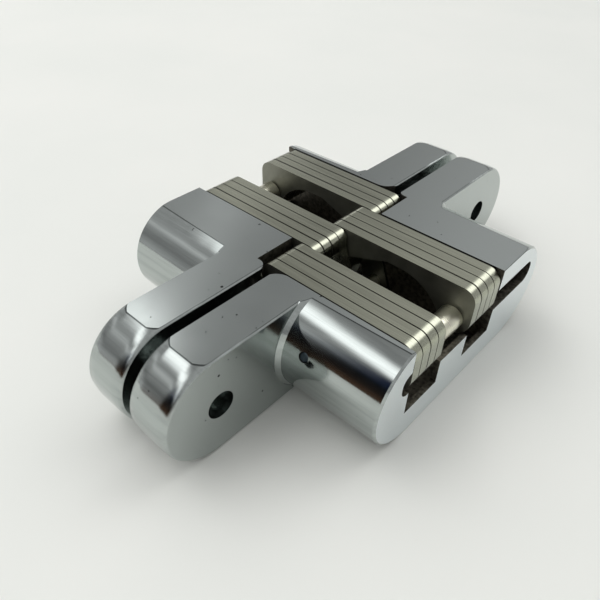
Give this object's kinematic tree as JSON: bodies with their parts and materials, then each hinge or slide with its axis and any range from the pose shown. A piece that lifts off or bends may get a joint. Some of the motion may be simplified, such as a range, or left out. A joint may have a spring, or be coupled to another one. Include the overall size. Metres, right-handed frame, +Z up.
{
  "type": "concealed hinge",
  "caption": "Concealed crossed-link door hinge: round-ended plated castings with screw arms, joined by interleaved steel link packs that slide in the castings as it opens.",
  "frame": {"origin": "middle of the underside of the shut hinge, lying flat", "axes": "+X across the hinge from the door leaf to the frame leaf, +Y along its length, +Z up to the flush tops of the links"},
  "size_m": [0.057, 0.095, 0.019],
  "materials": {
    "chrome_plated_zinc": "polished plated casting",
    "satin_link_steel": "satin, ground along its length",
    "bright_pin_steel": "bright turned",
    "dowel_steel": "dark"
  },
  "bodies": {
    "frame_leaf": {"frame_leaf": "chrome_plated_zinc", "frame_pivot_pin": "bright_pin_steel", "frame_dowel": "dowel_steel"},
    "frame_links": {"frame_link_plate_1": "satin_link_steel", "frame_link_plate_2": "satin_link_steel", "frame_link_plate_3": "satin_link_steel", "frame_link_plate_4": "satin_link_steel", "frame_link_plate_5": "satin_link_steel", "frame_link_plate_6": "satin_link_steel", "frame_link_plate_7": "satin_link_steel", "frame_link_plate_8": "satin_link_steel", "cross_pin": "bright_pin_steel", "door_slider_pin": "bright_pin_steel", "door_slider_sleeve": "bright_pin_steel"},
    "door_links": {"door_link_plate_1": "satin_link_steel", "door_link_plate_2": "satin_link_steel", "door_link_plate_3": "satin_link_steel", "door_link_plate_4": "satin_link_steel", "door_link_plate_5": "satin_link_steel", "door_link_plate_6": "satin_link_steel", "door_link_plate_7": "satin_link_steel", "door_link_plate_8": "satin_link_steel", "frame_slider_pin": "bright_pin_steel", "frame_slider_sleeve": "bright_pin_steel"},
    "door_leaf": {"door_leaf": "chrome_plated_zinc", "door_pivot_pin": "bright_pin_steel", "door_dowel": "dowel_steel"}
  },
  "joints": [
    {"name": "frame_pivot", "type": "hinge", "parent": "frame_leaf", "child": "frame_links", "pos_m": [0.0038, 0, 0.0034], "axis": [0, -1, 0], "range_deg": [0, 122.4]},
    {"name": "cross_pivot", "type": "hinge", "parent": "frame_links", "child": "door_links", "pos_m": [0, 0, 0.015], "axis": [0, -1, 0], "range_deg": [-64.8, 0]},
    {"name": "door_pivot", "type": "hinge", "parent": "door_links", "child": "door_leaf", "pos_m": [-0.0038, 0, 0.0034], "axis": [0, -1, 0], "range_deg": [0, 122.4]}
  ],
  "couplings": [
    {"joint": "cross_pivot", "follows": "frame_pivot", "ratio": -0.52941},
    {"joint": "door_pivot", "follows": "frame_pivot", "ratio": 1}
  ]
}
